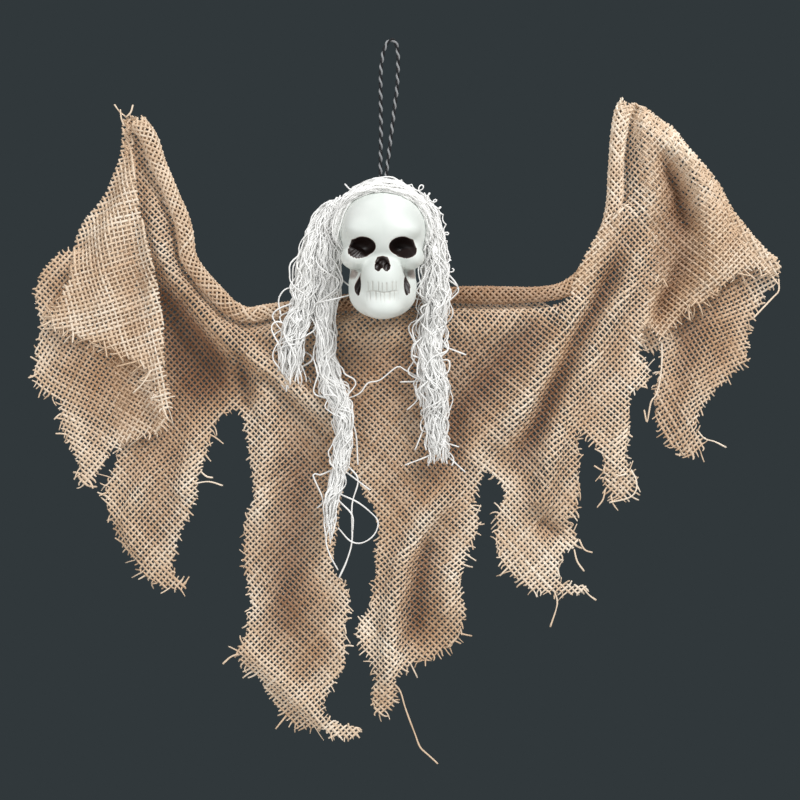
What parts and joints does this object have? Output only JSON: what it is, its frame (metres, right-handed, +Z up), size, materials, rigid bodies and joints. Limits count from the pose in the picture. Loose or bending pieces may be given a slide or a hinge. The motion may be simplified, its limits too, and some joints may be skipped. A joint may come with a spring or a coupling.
{
  "type": "hanging ghost ornament",
  "caption": "Hanging ghost: torn hessian cloth spread on a bent arm wire, with a moulded skull head, white yarn hair and a twine loop.",
  "frame": {"origin": "the hanging point: the inside top of the twine loop, where it lies on its hook", "axes": "+Z up, +X to the right as the face is seen, -Y the way the face looks; the cloth hangs in the XZ plane"},
  "size_m": [0.3752, 0.0541, 0.351],
  "materials": {
    "hessian": "loose plain-weave hessian, unbleached tan, matt, with frayed torn edges",
    "annealed_wire": "soft bent steel wire, dull grey",
    "moulded_plastic": "off-white moulded plastic with a soft sheen, dark brown paint in the eye, nose and cheek hollows",
    "cotton_yarn": "bleached white cotton yarn, matt and slightly fuzzy",
    "grey_twine": "two-ply twisted twine, one black and one grey strand"
  },
  "bodies": {
    "root": {"cloth": "hessian", "arm_wire": "annealed_wire", "skull": "moulded_plastic", "hair_crown": "cotton_yarn", "hair_left": "cotton_yarn", "hair_right": "cotton_yarn", "hanging_cord": "grey_twine"}
  },
  "joints": []
}
